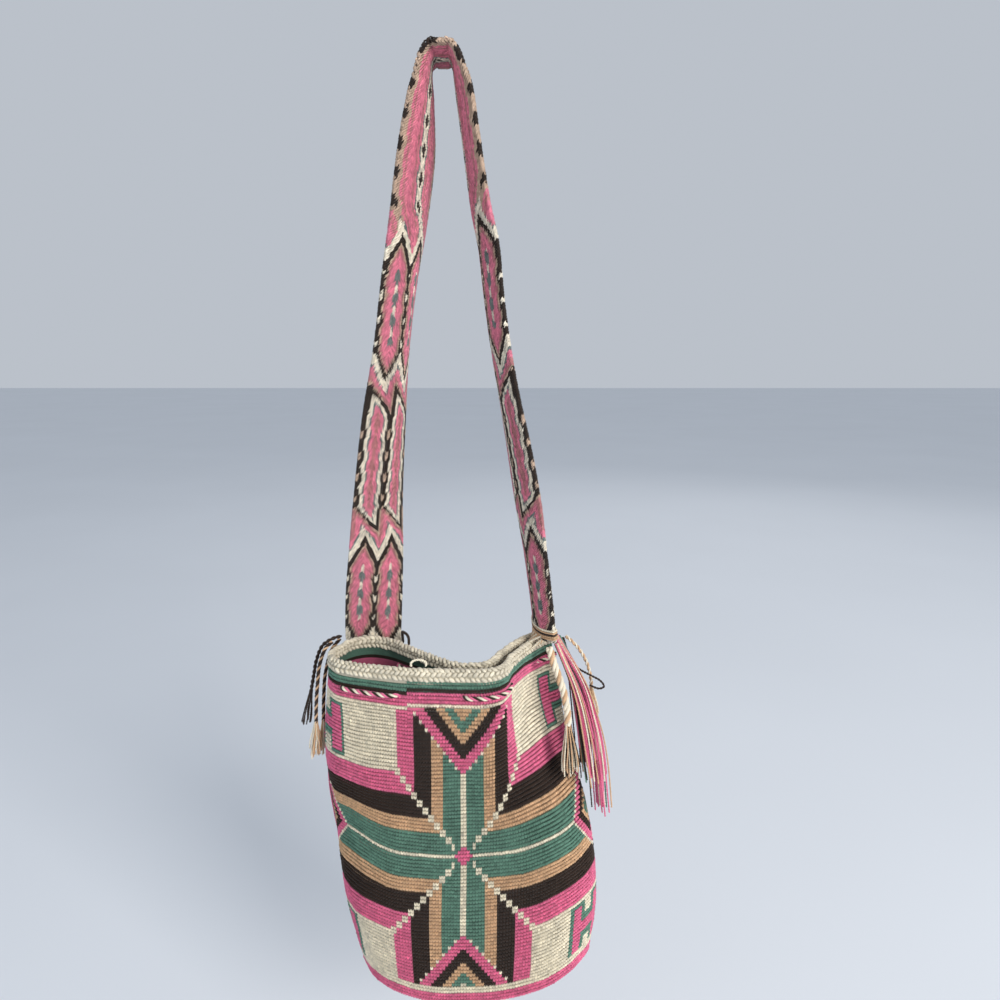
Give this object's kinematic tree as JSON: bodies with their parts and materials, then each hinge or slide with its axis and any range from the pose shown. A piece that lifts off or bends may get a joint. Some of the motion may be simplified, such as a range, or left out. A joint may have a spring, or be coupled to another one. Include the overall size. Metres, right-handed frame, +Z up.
{
  "type": "crocheted shoulder bag",
  "caption": "Crocheted bucket bag with a drawstring mouth and a wide braided shoulder strap ending in tassels, hanging empty.",
  "frame": {"origin": "underside of the strap where it lies on the hook", "axes": "+Z up, -Y towards the front of the bag, +X to the right as the bag is seen from the front"},
  "size_m": [0.3195, 0.151, 0.8974],
  "materials": {
    "crochet": "tapestry crochet in cream, pink, teal, dark brown and tan cotton",
    "strap_braid": "diagonally braided cotton band with a lozenge pattern",
    "cream_yarn": "twisted cotton yarn",
    "pink_yarn": "twisted cotton yarn",
    "teal_yarn": "twisted cotton yarn",
    "brown_yarn": "twisted cotton yarn",
    "tan_yarn": "twisted cotton yarn",
    "drawstring_yarn": "cord twisted from pink, cream and brown cotton"
  },
  "bodies": {
    "root": {"bag_body": "crochet", "shoulder_strap": "strap_braid", "strap_seam_left": "cream_yarn", "strap_lashing_right": "tan_yarn", "drawstring": "drawstring_yarn", "drawstring_knot": "drawstring_yarn", "rim_loop": "cream_yarn", "back_black_loop": "brown_yarn", "left_black_cord": "brown_yarn", "left_black_fringe": "brown_yarn", "left_brown_cord_front": "brown_yarn", "left_tan_fringe_front": "tan_yarn", "left_brown_cord_back": "brown_yarn", "left_tan_fringe_back": "tan_yarn", "left_back_strands": "teal_yarn", "right_pink_tassel_outer": "pink_yarn", "right_pink_tassel_inner": "pink_yarn", "right_teal_strands": "teal_yarn", "right_cream_braid": "cream_yarn", "right_cream_fringe": "cream_yarn", "right_black_strands": "brown_yarn", "right_tan_cord": "tan_yarn", "right_tan_fringe": "tan_yarn", "right_thread_loop": "brown_yarn"}
  },
  "joints": []
}
